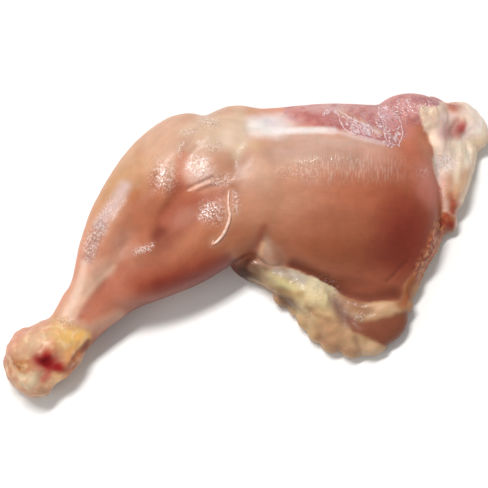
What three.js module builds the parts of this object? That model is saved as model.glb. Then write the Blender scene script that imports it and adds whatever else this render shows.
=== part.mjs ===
// A raw chicken leg without its skin: drumstick and thigh in one piece, lying on its side.
// Millimetres, +Z up, ground at z = 0. +X runs towards the hip, +Y towards the front of the leg.
//
// The whole leg is one solid. Every muscle, tendon and lump of fat is a rounded lobe or a tapered
// strand beside one of the two leg bones, and each flows into the ones before it, as wet meat does.
// The underside is pressed flat by the leg's own weight.

import * as THREE from 'three';

// The two bones seen from above: the knee, and how far and which way each bone runs from it.
const KNEE = { x: -14.6, y: 37.4 };
const SHIN_LENGTH = 104;
const SHIN_HEADING = 51;
const THIGH_LENGTH = 88;
const THIGH_HEADING = 1;

// The net that is drawn over the blended lobes.
const CELL = 2.9;
const SPACE = { low: [-104, -66, -1.5 * CELL], high: [108, 68, 44] };
const SETTLING_STEPS = 4;
const GROUND_ROUNDING = 2;
const STRAND_ROUNDING = 1;

// How round the lower half of a limp lump is: 1 is as round as its upper half, 0 is upright.
const LIMP = 0.3;

const RAW_MEAT = { color: 0xc48a70, roughness: 0.35, metalness: 0 };

const NEARLY_NOTHING = 1e-9;

function direction(degrees) {
  const angle = THREE.MathUtils.degToRad(degrees);
  return { x: Math.cos(angle), y: Math.sin(angle) };
}

// A bone as a frame. Share 0 is its end nearer the foot and share 1 its end nearer the body;
// "aside" is the distance from it, positive towards the front of the leg.
function bone(start, length, heading) {
  const along = direction(heading);
  function at(share, aside, up) {
    const run = share * length;
    const x = start.x + run * along.x - aside * along.y;
    const y = start.y + run * along.y + aside * along.x;
    return new THREE.Vector3(x, y, up);
  }
  return { heading, at };
}

function hock() {
  const along = direction(SHIN_HEADING);
  return { x: KNEE.x - SHIN_LENGTH * along.x, y: KNEE.y - SHIN_LENGTH * along.y };
}

const shin = bone(hock(), SHIN_LENGTH, SHIN_HEADING);
const thigh = bone(KNEE, THIGH_LENGTH, THIGH_HEADING);

// The smaller of two distances, with the corner between them filled over a blend width.
function blendMin(a, b, width) {
  const overlap = Math.max(width - Math.abs(a - b), 0) / width;
  return Math.min(a, b) - (overlap ** 3 * width) / 6;
}

function blendMax(a, b, width) {
  return -blendMin(-a, -b, width);
}

// A rounded lobe: its place beside a bone, its full length, width and height, and its turn in
// degrees from that bone. "taper" widens its far end, "bend" bows its middle aside, "underside"
// says how round its lower half is, and "blend" is the width over which it flows into the rest.
function lobe(beside, place, [length, width, height], options) {
  const { turn = 0, taper = 0, bend = 0, underside = 1, blend = 3 } = options;
  const centre = beside.at(...place);
  const way = direction(beside.heading + turn);
  function distance(point) {
    const dx = point.x - centre.x;
    const dy = point.y - centre.y;
    const run = (dx * way.x + dy * way.y) / (length / 2);
    const bounded = THREE.MathUtils.clamp(run, -1.3, 1.3);
    const halfWidth = (width / 2) * (1 + taper * bounded);
    const side = (dy * way.x - dx * way.y - bend * (1 - bounded * bounded)) / halfWidth;
    const dz = point.z - centre.z;
    const rise = (dz < 0 ? dz * underside : dz) / (height / 2);
    const size = Math.hypot(run, side, rise) + NEARLY_NOTHING;
    const slope = Math.hypot(run / (length / 2), side / halfWidth, rise / (height / 2)) / size;
    return (size - 1) / (slope + NEARLY_NOTHING);
  }
  return { distance, blend };
}

// A lump is a limp lobe, which sags on the ground.
function lump(beside, place, sizes, options) {
  return lobe(beside, place, sizes, { blend: 3.5, ...options, underside: LIMP });
}

// A dent is a lobe of empty space.
function dent(beside, place, sizes, options) {
  return { ...lobe(beside, place, sizes, options), hollow: true };
}

// A round strand through stops beside a bone: [share, aside, up, thickness].
function strand(beside, stops, { blend = 3 } = {}) {
  const points = stops.map(([share, aside, up]) => beside.at(share, aside, up));
  const radii = stops.map((stop) => stop[3] / 2);
  const spans = points.slice(1).map((point, i) => point.clone().sub(points[i]));
  function distance(point) {
    const reaches = spans.map((span, i) => {
      const from = point.clone().sub(points[i]);
      const share = THREE.MathUtils.clamp(from.dot(span) / span.lengthSq(), 0, 1);
      const radius = THREE.MathUtils.lerp(radii[i], radii[i + 1], share);
      return from.addScaledVector(span, -share).length() - radius;
    });
    return reaches.reduce((near, reach) => blendMin(near, reach, STRAND_ROUNDING));
  }
  return { distance, blend };
}

function drumstick() {
  return {
    shank: strand(shin, [[0.07, -2, 10, 18], [0.22, -1, 12, 21], [0.43, -2, 14, 27], [0.77, -7, 17, 32]]),
    heelTendon: strand(shin, [[0.12, -5, 9, 7], [0.27, -7, 11, 11], [0.48, -12, 13, 18]], { blend: 7 }),
    shinMuscle: lobe(shin, [0.64, 8.5, 16], [86, 28, 36], { turn: 9, taper: 0.12, bend: 2, blend: 5 }),
    outerMuscle: lobe(shin, [0.765, 5, 20], [64, 26, 33], { turn: 15, taper: 0.1, blend: 3.5 }),
    calf: lobe(shin, [0.69, -15, 17], [88, 36, 36], { turn: -15, taper: 0.2, bend: -1, blend: 4 }),
    shinHead: lobe(shin, [0.91, -5, 22], [30, 23, 28], { turn: -16, blend: 4.5 }),
    innerMuscle: lobe(shin, [0.68, -1, 10], [84, 42, 24], { turn: -4, blend: 7 }),
    kneeFold: lobe(shin, [0.99, 1.5, 16], [52, 25, 36], { turn: -39, blend: 6 }),
    kneeCap: lobe(thigh, [0.12, 5.5, 17], [30, 24, 30], { turn: -6, blend: 6 }),
  };
}

function knuckle() {
  return {
    end: lobe(shin, [0, 0, 11], [27, 24, 24], { turn: -11, blend: 5 }),
    frontHead: lobe(shin, [-0.06, 7, 10], [20, 14, 20], { turn: 29, blend: 4 }),
    backHead: lobe(shin, [-0.12, -3, 9], [16, 12, 18], { turn: -71, blend: 4 }),
    heel: lobe(shin, [0.01, -8, 9], [14, 8, 17], { turn: -11, blend: 4 }),
    tip: lobe(shin, [-0.13, 5, 8], [14, 8, 16], { turn: 69, blend: 3 }),
    marrow: dent(shin, [-0.03, -5, 24], [9, 6, 9], { turn: -31, blend: 2 }),
  };
}

function thighMeat() {
  return {
    front: lobe(thigh, [0.53, -5, 15], [84, 42, 40], { turn: 1, blend: 8 }),
    back: lobe(thigh, [0.55, -19, 11], [84, 63, 41], { turn: -5, blend: 14 }),
    kneeBridge: lobe(thigh, [0.18, -13, 15], [48, 34, 38], { turn: 79, blend: 9 }),
    strap: lobe(thigh, [0.5, 9, 14], [100, 18, 28], { turn: 1, blend: 4 }),
    hipFront: lobe(thigh, [0.92, 12, 14], [30, 20, 27], { turn: -9, blend: 4 }),
    hipSide: lobe(thigh, [0.88, -1, 14], [24, 16, 29], { turn: -77, blend: 4 }),
    rear: lobe(thigh, [0.84, -23, 10], [52, 27, 24], { turn: -73, blend: 8 }),
    lowerEdge: lump(thigh, [0.53, -40, 8], [68, 26, 22], { turn: -15, blend: 9 }),
    lowerCorner: lump(thigh, [0.75, -49, 6], [32, 22, 18], { turn: -26, blend: 8 }),
  };
}

function hipFlap() {
  return {
    sheet: lump(thigh, [1.05, -1, 8], [48, 21, 19], { turn: -80 }),
    drape: lump(thigh, [1.02, 4, 10], [28, 16, 24], { turn: -80 }),
    outerSheet: lump(thigh, [1.145, -4.5, 5], [32, 11, 9], { turn: -107, blend: 4 }),
    lowerSheet: lump(thigh, [1.03, -17, 6], [28, 11, 11], { turn: -82, blend: 4 }),
    tatter: lump(thigh, [1.08, -26.5, 4], [12, 6, 9], { turn: -82 }),
    topLump: lump(thigh, [1.1, 12, 10], [24, 12, 17], { turn: -14, blend: 4 }),
    tip: lump(thigh, [1.185, 10.8, 7], [21, 12, 14], { turn: -56, blend: 4 }),
    cutMuscle: lump(thigh, [1.115, 14.5, 8], [12, 9, 14]),
    upperRim: strand(thigh, [[1.04, -17, 5, 9], [1.03, -28, 4, 8], [0.985, -37, 4, 8]], { blend: 5 }),
    lowerRim: strand(thigh, [[0.985, -37, 4, 8], [0.915, -46, 4, 8], [0.85, -58, 4, 9]], { blend: 5 }),
  };
}

function lowerFat() {
  return {
    first: lump(thigh, [0.3, -51, 8], [20, 12, 15], { turn: -29 }),
    second: lump(thigh, [0.41, -56.5, 8], [26, 15, 17], { turn: -39 }),
    third: lump(thigh, [0.5, -67, 6], [20, 14, 14], { turn: -49 }),
    fourth: lump(thigh, [0.6, -73.5, 5], [22, 11, 12], { turn: -14 }),
    end: lump(thigh, [0.7, -79, 4], [13, 6, 10], { blend: 2.5 }),
    meatTab: lump(thigh, [0.735, -67, 5], [25, 22, 14], { turn: -11 }),
    band: lump(thigh, [0.75, -63, 7], [27, 9, 11], { blend: 2.5 }),
    web: lump(thigh, [0.6, -62, 4], [44, 24, 12], { turn: -21, blend: 4 }),
    kneePit: lump(thigh, [0.17, -45, 6], [20, 12, 13], { turn: -26, blend: 5 }),
    hollowFat: lobe(thigh, [0.245, -40, 16], [14, 8, 9], { turn: -60, blend: 6 }),
  };
}

// Round lobules along the fat's lower border: [share, aside, size] beside the thigh's bone.
function fatLobules() {
  const places = [
    [0.32, -57.5, 9],
    [0.375, -62, 7],
    [0.425, -67, 9],
    [0.465, -72.5, 8],
    [0.53, -76, 10],
    [0.62, -78, 10],
  ];
  return places.map(([share, aside, size]) => {
    return lump(thigh, [share, aside, 4], [size, size, size], { blend: 2.5 });
  });
}

// Distance from a point to the surface of the whole leg, negative inside.
function legDistance(lobes) {
  return (point) => {
    const blended = lobes.reduce((near, { distance, blend, hollow }) => {
      if (hollow) return blendMax(near, -distance(point), blend);
      return near === Infinity ? distance(point) : blendMin(near, distance(point), blend);
    }, Infinity);
    return blendMax(blended, -point.z, GROUND_ROUNDING);
  };
}

// Moves a point to where the distance is zero, down the slope of the distance.
function settle(point, distance, limit) {
  const start = point.clone();
  const small = 0.8;
  for (let step = 0; step < SETTLING_STEPS; step += 1) {
    const here = distance(point);
    const slope = new THREE.Vector3(
      distance(point.clone().setX(point.x + small)) - here,
      distance(point.clone().setY(point.y + small)) - here,
      distance(point.clone().setZ(point.z + small)) - here,
    ).divideScalar(small);
    point.addScaledVector(slope, -here / Math.max(slope.lengthSq(), 0.2));
  }
  const move = point.clone().sub(start).clampLength(0, limit);
  return point.copy(start).add(move);
}

// A net of four-sided faces over the surface where the distance is zero: one vertex in each cell
// of a cubic grid that the surface crosses, and one face over each grid edge that it crosses.
function netOver(distance, { low, high }, cell) {
  const count = low.map((from, axis) => Math.ceil((high[axis] - from) / cell) + 1);
  const stride = [1, count[0], count[0] * count[1]];
  const corner = (i, j, k) =>
    new THREE.Vector3(low[0] + i * cell, low[1] + j * cell, low[2] + k * cell);
  const value = new Float64Array(count[0] * count[1] * count[2]);
  forEachCell(count, (i, j, k, index) => {
    value[index] = distance(corner(i, j, k));
  });
  fillPinches(value, count, stride);

  const vertices = [];
  const vertexOfCell = new Map();
  forEachCell(count.map((n) => n - 1), (i, j, k) => {
    const index = i + j * stride[1] + k * stride[2];
    const crossings = cellCrossings(value, stride, index);
    if (crossings.length === 0) return;
    const mean = new THREE.Vector3();
    crossings.forEach((crossing) => mean.add(crossing));
    mean.multiplyScalar(cell / crossings.length).add(corner(i, j, k));
    vertexOfCell.set(index, vertices.length);
    vertices.push(settle(mean, distance, cell / 2));
  });

  const triangles = [];
  forEachCell(count, (i, j, k, index) => {
    stride.forEach((step, axis) => {
      const place = [i, j, k];
      if (place[axis] + 1 >= count[axis]) return;
      const inside = value[index] < 0;
      if (inside === value[index + step] < 0) return;
      const [side, up] = [stride[(axis + 1) % 3], stride[(axis + 2) % 3]];
      const ring = [index, index - side, index - side - up, index - up];
      const face = ring.map((cellIndex) => vertexOfCell.get(cellIndex));
      if (!inside) face.reverse();
      triangles.push(...splitFace(face, vertices));
    });
  });
  return { vertices, triangles };
}

// Where opposite corners of a grid square are inside and the other two outside, the net would touch
// itself along an edge, so the outside corner nearer the surface is counted as inside.
function fillPinches(value, count, stride) {
  const barelyInside = -0.01;
  let filled = true;
  while (filled) {
    filled = false;
    forEachCell(count.map((n) => n - 1), (i, j, k) => {
      const index = i + j * stride[1] + k * stride[2];
      for (let axis = 0; axis < 3; axis += 1) {
        const [side, up] = [stride[(axis + 1) % 3], stride[(axis + 2) % 3]];
        const ring = [index, index + side, index + side + up, index + up];
        const inside = ring.map((corner) => value[corner] < 0);
        if (inside[0] !== inside[2] || inside[1] !== inside[3] || inside[0] === inside[1]) continue;
        const outside = ring.filter((corner) => value[corner] >= 0);
        const nearer = value[outside[0]] < value[outside[1]] ? outside[0] : outside[1];
        value[nearer] = barelyInside;
        filled = true;
      }
    });
  }
}

function forEachCell(count, visit) {
  for (let k = 0; k < count[2]; k += 1) {
    for (let j = 0; j < count[1]; j += 1) {
      for (let i = 0; i < count[0]; i += 1) {
        visit(i, j, k, i + count[0] * (j + count[1] * k));
      }
    }
  }
}

// Where the surface crosses the twelve edges of a cell, in shares of the cell.
function cellCrossings(value, stride, index) {
  const crossings = [];
  for (let axis = 0; axis < 3; axis += 1) {
    const others = [(axis + 1) % 3, (axis + 2) % 3];
    for (const [a, b] of [[0, 0], [0, 1], [1, 0], [1, 1]]) {
      const start = index + a * stride[others[0]] + b * stride[others[1]];
      const [from, to] = [value[start], value[start + stride[axis]]];
      if (from < 0 === to < 0) continue;
      const crossing = new THREE.Vector3();
      crossing.setComponent(axis, from / (from - to));
      crossing.setComponent(others[0], a);
      crossing.setComponent(others[1], b);
      crossings.push(crossing);
    }
  }
  return crossings;
}

// Splits a four-sided face along its shorter diagonal.
function splitFace([a, b, c, d], vertices) {
  const acrossAC = vertices[a].distanceTo(vertices[c]);
  const acrossBD = vertices[b].distanceTo(vertices[d]);
  return acrossAC < acrossBD ? [a, b, c, a, c, d] : [a, b, d, b, c, d];
}

function surfaceGeometry({ vertices, triangles }) {
  const positions = vertices.flatMap((vertex) => vertex.toArray());
  const geometry = new THREE.BufferGeometry();
  geometry.setAttribute('position', new THREE.Float32BufferAttribute(positions, 3));
  geometry.setIndex(triangles);
  geometry.computeVertexNormals();
  return geometry;
}

// The flat underside lies exactly on the ground.
function pressFlat(vertices) {
  const touching = 0.02;
  vertices.filter((vertex) => vertex.z < touching).forEach((vertex) => vertex.setZ(0));
}

function chickenLeg() {
  const groups = [drumstick(), thighMeat(), hipFlap(), lowerFat(), fatLobules(), knuckle()];
  const lobes = groups.flatMap((group) => Object.values(group));
  const net = netOver(legDistance(lobes), SPACE, CELL);
  pressFlat(net.vertices);
  const mesh = new THREE.Mesh(surfaceGeometry(net), new THREE.MeshStandardMaterial(RAW_MEAT));
  mesh.name = 'chicken_leg';
  return mesh;
}

const part = new THREE.Group();
part.add(chickenLeg());

export default part;
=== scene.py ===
import math
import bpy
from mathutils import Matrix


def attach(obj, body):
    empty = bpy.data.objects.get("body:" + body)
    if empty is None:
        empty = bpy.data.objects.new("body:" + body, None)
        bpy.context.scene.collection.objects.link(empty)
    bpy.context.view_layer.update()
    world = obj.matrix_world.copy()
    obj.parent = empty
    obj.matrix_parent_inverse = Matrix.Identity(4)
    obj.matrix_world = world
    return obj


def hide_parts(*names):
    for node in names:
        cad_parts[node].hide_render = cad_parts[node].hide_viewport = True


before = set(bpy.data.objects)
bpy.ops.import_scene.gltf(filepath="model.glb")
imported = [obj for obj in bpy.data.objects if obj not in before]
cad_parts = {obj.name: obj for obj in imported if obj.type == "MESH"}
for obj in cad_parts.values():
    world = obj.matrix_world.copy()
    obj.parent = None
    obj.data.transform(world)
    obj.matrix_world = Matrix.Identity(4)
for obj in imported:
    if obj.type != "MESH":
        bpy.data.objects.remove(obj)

from types import SimpleNamespace

import bpy
import numpy as np
from mathutils import Vector, noise
from mathutils.bvhtree import BVHTree

# A raw chicken leg without its skin, lying on its side. The leg's own sizes are in millimetres, as
# in the solid, and become metres only when a mesh is made. Lamps are placed in metres.
MM = 0.001

# The two bones seen from above: the knee, and how far and which way each bone runs from it.
KNEE = (-14.6, 37.4)
SHIN_LENGTH = 104
SHIN_HEADING = 51
THIGH_LENGTH = 88
THIGH_HEADING = 1

# The lobes. A limp one counts height below its middle at this share, so it reaches the ground.
# Beyond the taper's reach, in half lengths, a lobe's width and bend no longer change.
LIMP = 0.3
TAPER_REACH = 1.3
MARGIN = 3
STRAND_ROUNDING = 1
GROUND_ROUNDING = 2
FAR = 99.0
NEARLY_NOTHING = 1e-9

# The net over the blended lobes, and how its vertices settle on the surface and the ground.
CELL = 0.8
BARELY_INSIDE = -0.01
SETTLING_STEPS = 2
LEAST_STEEPNESS = 0.3
LYING_BELOW = 0.02
SOFTENING_STEPS = 60

# The surface where nothing is painted on it, and how much rougher it is where it has dried.
BARE_MEAT = (196, 128, 98)
BARE_WETNESS = 0.08
BARE_RIPPLE = 0.15
BARE_ROUGHNESS = 0.45
DRYING = 0.35

# The photograph's view: a square picture, and its camera's height angle, distance and focal
# length in pixels, which together make 0.40 mm a pixel at the leg. The sensor's size is free.
PICTURE = 488
VIEW_ELEVATION = 80
VIEW_DISTANCE = 800
VIEW_TARGET = (-2.0, 0.0, 12.0)
FOCAL_PIXELS = 2000
SENSOR = 36

# Half the width of the floor.
FLOOR = 1500


# ---------------------------------------------------------------- the leg's form


def direction(degrees):
    angle = math.radians(degrees)
    return np.array([math.cos(angle), math.sin(angle)])


class Bone:
    """Share 0 is the end nearer the foot, and aside is positive towards the front of the leg."""

    def __init__(self, start, length, heading):
        self.start = np.array(start, float)
        self.length = length
        self.heading = heading

    def at(self, share, aside, up):
        along = direction(self.heading)
        across = np.array([-along[1], along[0]])
        plan = self.start + share * self.length * along + aside * across
        return np.array([plan[0], plan[1], up])


HOCK = np.array(KNEE) - SHIN_LENGTH * direction(SHIN_HEADING)
shin = Bone(HOCK, SHIN_LENGTH, SHIN_HEADING)
thigh = Bone(KNEE, THIGH_LENGTH, THIGH_HEADING)


def blend_min(a, b, width):
    """The smaller of two distances, with the corner between them filled over a blend width."""
    overlap = np.maximum(width - np.abs(a - b), 0) / width
    return np.minimum(a, b) - overlap**3 * width / 6


def blend_max(a, b, width):
    """The larger of two distances, with the corner between them rounded off."""
    return -blend_min(-a, -b, width)


def lobe(beside, place, size, tissue, turn=0, taper=0, bend=0, underside=1, blend=3.0, hollow=False):
    """A rounded lobe of the given full length, width and height, turned from its bone."""
    centre = beside.at(*place)
    way = direction(beside.heading + turn)
    half = np.array(size) / 2

    def distance(points):
        dx, dy, dz = (points - centre).T
        run = (dx * way[0] + dy * way[1]) / half[0]
        bounded = np.clip(run, -TAPER_REACH, TAPER_REACH)
        half_width = half[1] * (1 + taper * bounded)
        side = (dy * way[0] - dx * way[1] - bend * (1 - bounded**2)) / half_width
        rise = np.where(dz < 0, dz * underside, dz) / half[2]
        size_here = np.sqrt(run**2 + side**2 + rise**2) + NEARLY_NOTHING
        slope = np.sqrt((run / half[0]) ** 2 + (side / half_width) ** 2 + (rise / half[2]) ** 2)
        return (size_here - 1) / (slope / size_here + NEARLY_NOTHING)

    aside = max(half[0], half[1] * TAPER_REACH)
    reach = np.array([aside, aside, half[2] / underside]) + blend + abs(bend) + MARGIN
    return SimpleNamespace(
        distance=distance, blend=blend, tissue=tissue, hollow=hollow, low=centre - reach, high=centre + reach
    )


def lump(beside, place, size, tissue="fat", blend=3.5, **options):
    """A limp lobe, which sags on the ground."""
    return lobe(beside, place, size, tissue, blend=blend, underside=LIMP, **options)


def dent(beside, place, size, tissue, **options):
    """A lobe of empty space."""
    return lobe(beside, place, size, tissue, hollow=True, **options)


def strand(beside, stops, tissue, blend=3.0):
    """A round strand through stops beside a bone: (share, aside, up, thickness)."""
    ends = np.array([beside.at(*stop[:3]) for stop in stops])
    radii = np.array([stop[3] / 2 for stop in stops])

    def distance(points):
        near = None
        for i in range(len(ends) - 1):
            span = ends[i + 1] - ends[i]
            share = np.clip((points - ends[i]) @ span / (span @ span), 0, 1)
            radius = radii[i] + (radii[i + 1] - radii[i]) * share
            apart = np.linalg.norm(points - ends[i] - share[:, None] * span, axis=1) - radius
            near = apart if near is None else blend_min(near, apart, STRAND_ROUNDING)
        return near

    reach = radii.max() + blend + MARGIN
    return SimpleNamespace(
        distance=distance, blend=blend, tissue=tissue, hollow=False,
        low=ends.min(0) - reach, high=ends.max(0) + reach,
    )


def drumstick():
    return [
        strand(
            shin, [(0.07, -2, 10, 18), (0.22, -1, 12, 21), (0.43, -2, 14, 27), (0.77, -7, 17, 32)], "meat"
        ),
        strand(shin, [(0.12, -5, 9, 7), (0.27, -7, 11, 11), (0.48, -12, 13, 18)], "meat", blend=7),
        lobe(shin, (0.64, 8.5, 16), (86, 28, 36), "meat", turn=9, taper=0.12, bend=2, blend=5),
        lobe(shin, (0.765, 5, 20), (64, 26, 33), "meat", turn=15, taper=0.1, blend=3.5),
        lobe(shin, (0.69, -15, 17), (88, 36, 36), "meat", turn=-15, taper=0.2, bend=-1, blend=4),
        lobe(shin, (0.91, -5, 22), (30, 23, 28), "meat", turn=-16, blend=4.5),
        lobe(shin, (0.68, -1, 10), (84, 42, 24), "meat", turn=-4, blend=7),
        lobe(shin, (0.99, 1.5, 16), (52, 25, 36), "meat", turn=-39, blend=6),
        lobe(thigh, (0.12, 5.5, 17), (30, 24, 30), "meat", turn=-6, blend=6),
    ]


def thigh_meat():
    return [
        lobe(thigh, (0.53, -5, 15), (84, 42, 40), "meat", turn=1, blend=8),
        lobe(thigh, (0.55, -19, 11), (84, 63, 41), "meat", turn=-5, blend=14),
        lobe(thigh, (0.18, -13, 15), (48, 34, 38), "meat", turn=79, blend=9),
        lobe(thigh, (0.5, 9, 14), (100, 18, 28), "meat", turn=1, blend=4),
        lobe(thigh, (0.92, 12, 14), (30, 20, 27), "meat", turn=-9, blend=4),
        lobe(thigh, (0.88, -1, 14), (24, 16, 29), "meat", turn=-77, blend=4),
        lobe(thigh, (0.84, -23, 10), (52, 27, 24), "meat", turn=-73, blend=8),
        lump(thigh, (0.53, -40, 8), (68, 26, 22), "meat", turn=-15, blend=9),
        lump(thigh, (0.75, -49, 6), (32, 22, 18), "meat", turn=-26, blend=8),
    ]


def hip_flap():
    return [
        lump(thigh, (1.05, -1, 8), (48, 21, 19), turn=-80),
        lump(thigh, (1.02, 4, 10), (28, 16, 24), turn=-80),
        lump(thigh, (1.145, -4.5, 5), (32, 11, 9), turn=-107, blend=4),
        lump(thigh, (1.03, -17, 6), (28, 11, 11), turn=-82, blend=4),
        lump(thigh, (1.08, -26.5, 4), (12, 6, 9), turn=-82),
        lump(thigh, (1.1, 12, 10), (24, 12, 17), turn=-14, blend=4),
        lump(thigh, (1.185, 10.8, 7), (21, 12, 14), turn=-56, blend=4),
        lump(thigh, (1.115, 14.5, 8), (12, 9, 14)),
        strand(thigh, [(1.04, -17, 5, 9), (1.03, -28, 4, 8), (0.985, -37, 4, 8)], "fat", blend=5),
        strand(thigh, [(0.985, -37, 4, 8), (0.915, -46, 4, 8), (0.85, -58, 4, 9)], "fat", blend=5),
    ]


def lower_fat():
    return [
        lump(thigh, (0.3, -51, 8), (20, 12, 15), turn=-29),
        lump(thigh, (0.41, -56.5, 8), (26, 15, 17), turn=-39),
        lump(thigh, (0.5, -67, 6), (20, 14, 14), turn=-49),
        lump(thigh, (0.6, -73.5, 5), (22, 11, 12), turn=-14),
        lump(thigh, (0.7, -79, 4), (13, 6, 10), blend=2.5),
        lump(thigh, (0.735, -67, 5), (25, 22, 14), "meat", turn=-11),
        lump(thigh, (0.75, -63, 7), (27, 9, 11), blend=2.5),
        lump(thigh, (0.6, -62, 4), (44, 24, 12), "meat", turn=-21, blend=4),
        lump(thigh, (0.17, -45, 6), (20, 12, 13), turn=-26, blend=5),
        lobe(thigh, (0.245, -40, 16), (14, 8, 9), "fat", turn=-60, blend=6),
    ]


def fat_lobules():
    """Round lobules along the fat's lower border: share, aside and size beside the thigh's bone."""
    places = (
        (0.32, -57.5, 9), (0.375, -62, 7), (0.425, -67, 9),
        (0.465, -72.5, 8), (0.53, -76, 10), (0.62, -78, 10),
    )
    return [lump(thigh, (share, aside, 4), (size, size, size), blend=2.5) for share, aside, size in places]


def knuckle():
    return [
        lobe(shin, (0, 0, 11), (27, 24, 24), "bone end", turn=-11, blend=5),
        lobe(shin, (-0.06, 7, 10), (20, 14, 20), "bone end", turn=29, blend=4),
        lobe(shin, (-0.12, -3, 9), (16, 12, 18), "bone end", turn=-71, blend=4),
        lobe(shin, (0.01, -8, 9), (14, 8, 17), "bone end", turn=-11, blend=4),
        lobe(shin, (-0.13, 5, 8), (14, 8, 16), "bone end", turn=69, blend=3),
        dent(shin, (-0.03, -5, 24), (9, 6, 9), "blood", turn=-31, blend=2),
    ]


LEG = drumstick() + thigh_meat() + hip_flap() + lower_fat() + fat_lobules() + knuckle()
SPACE_LOW = np.array([-101.0, -65.0, -1.5 * CELL])
SPACE_HIGH = np.array([101.0, 65.0, 39.0])


def join(near, piece, points):
    if piece.hollow:
        return blend_max(near, -piece.distance(points), piece.blend)
    return blend_min(near, piece.distance(points), piece.blend)


def leg_distance(points):
    """Distance in mm from each point to the leg's surface, negative inside."""
    near = np.full(len(points), FAR)
    for piece in LEG:
        here = np.all((points > piece.low) & (points < piece.high), axis=1)
        near[here] = join(near[here], piece, points[here])
    return blend_max(near, -points[:, 2], GROUND_ROUNDING)


def leg_on_grid(axes):
    """The same distance on a whole grid, worked out only where a piece can reach."""
    near = np.full([len(axis) for axis in axes], FAR)
    for piece in LEG:
        window = tuple(
            slice(*np.searchsorted(axis, (low, high))) for axis, low, high in zip(axes, piece.low, piece.high)
        )
        points = np.stack(np.meshgrid(*(axis[part] for axis, part in zip(axes, window)), indexing="ij"), -1)
        here = join(near[window].ravel(), piece, points.reshape(-1, 3))
        near[window] = here.reshape(near[window].shape)
    return blend_max(near, -np.broadcast_to(axes[2], near.shape), GROUND_ROUNDING)


# The corners of a grid square, in turn.
SQUARE = ((0, 0), (1, 0), (1, 1), (0, 1))


def shifted(grid, axis, steps, shape):
    """The part of a grid with the given shape that starts at steps along an axis and the next two."""
    starts = np.roll(steps, axis)
    return grid[tuple(slice(start, start + size) for start, size in zip(starts, shape))]


def fill_pinches(value):
    """Counts as inside the nearer outside corner of each grid square that is crossed twice."""
    filled = True
    while filled:
        filled = False
        for axis in range(3):
            shape = [size - (each != axis) for each, size in enumerate(value.shape)]
            corners = [shifted(value, axis, (0, *corner), shape) for corner in SQUARE]
            inside = [corner < 0 for corner in corners]
            pinched = (inside[0] == inside[2]) & (inside[1] == inside[3]) & (inside[0] != inside[1])
            for a, b in ((0, 2), (1, 3)):
                outside = pinched & ~inside[a]
                corners[a][outside & (corners[a] <= corners[b])] = BARELY_INSIDE
                corners[b][outside & (corners[a] > corners[b])] = BARELY_INSIDE
            filled = filled or bool(pinched.any())


def surface_net():
    """Vertices and four-sided faces of the leg's surface: a vertex in each crossed grid cell."""
    axes = [np.arange(low, high, CELL) for low, high in zip(SPACE_LOW, SPACE_HIGH)]
    value = leg_on_grid(axes)
    fill_pinches(value)
    cells = tuple(size - 1 for size in value.shape)
    total = np.zeros(cells + (3,))
    crossings = np.zeros(cells)
    for axis in range(3):
        side, up = (axis + 1) % 3, (axis + 2) % 3
        for a, b in ((0, 0), (0, 1), (1, 0), (1, 1)):
            start = shifted(value, axis, (0, a, b), cells)
            end = shifted(value, axis, (1, a, b), cells)
            crossed = (start < 0) != (end < 0)
            share = np.where(crossed, start / np.where(crossed, start - end, 1), 0)
            total[..., axis] += share
            total[..., side] += crossed * a
            total[..., up] += crossed * b
            crossings += crossed
    used = crossings > 0
    vertices = (np.argwhere(used) + total[used] / crossings[used][:, None]) * CELL + SPACE_LOW
    number = np.full(cells, -1)
    number[used] = np.arange(used.sum())
    return settle(vertices), faces_of(value, number)


def faces_of(value, number):
    """One four-sided face over each grid edge that the surface crosses, facing outwards."""
    faces = []
    for axis in range(3):
        shape = [size - (1 if each == axis else 2) for each, size in enumerate(value.shape)]
        start = shifted(value, axis, (0, 1, 1), shape) < 0
        end = shifted(value, axis, (1, 1, 1), shape) < 0
        ring = np.stack([shifted(number, axis, (0, 1 - a, 1 - b), shape) for a, b in SQUARE], -1)
        faces.append(ring[start & ~end])
        faces.append(ring[~start & end][:, ::-1])
    return np.concatenate(faces)


def slope_of(points, distance, step=0.2):
    """The slope of a distance at each point."""
    parts = []
    for axis in range(3):
        aside = np.zeros(3)
        aside[axis] = step
        parts.append((distance(points + aside) - distance(points - aside)) / (2 * step))
    return np.stack(parts, -1)


def settle(vertices):
    """Moves each vertex onto the surface, and the lying ones exactly onto the ground."""
    start = vertices.copy()
    for _ in range(SETTLING_STEPS):
        slope = slope_of(vertices, leg_distance)
        steep = np.maximum((slope**2).sum(1), LEAST_STEEPNESS)
        vertices = vertices - slope * (leg_distance(vertices) / steep)[:, None]
    vertices = start + np.clip(vertices - start, -CELL / 2, CELL / 2)
    vertices[vertices[:, 2] < LYING_BELOW, 2] = 0
    return vertices


def softened(vertices, faces, share, steps):
    """The net with its folds smoothed away where the share is 1."""
    starts, ends = faces[:, [0, 1, 2, 3]].ravel(), faces[:, [1, 2, 3, 0]].ravel()
    count = np.bincount(starts, minlength=len(vertices))[:, None]
    for _ in range(steps):
        total = np.stack([np.bincount(starts, vertices[ends, axis], len(vertices)) for axis in range(3)], -1)
        vertices = vertices + 0.5 * share[:, None] * (total / count - vertices)
    return vertices


def share_of(tissue, points, softness=1.2):
    """How much of a tissue shows at each point: the nearest piece counts most."""
    apart = np.stack([np.abs(piece.distance(points)) for piece in LEG])
    weight = np.exp(-(apart - apart.min(0)) / softness)
    return weight[[piece.tissue == tissue for piece in LEG]].sum(0) / weight.sum(0)


# ---------------------------------------------------------------- painting the surface


def camera_axes():
    angle = math.radians(VIEW_ELEVATION)
    right = np.array([1.0, 0.0, 0.0])
    up = np.array([0.0, math.sin(angle), math.cos(angle)])
    forward = np.array([0.0, math.cos(angle), -math.sin(angle)])
    return right, up, forward


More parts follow.
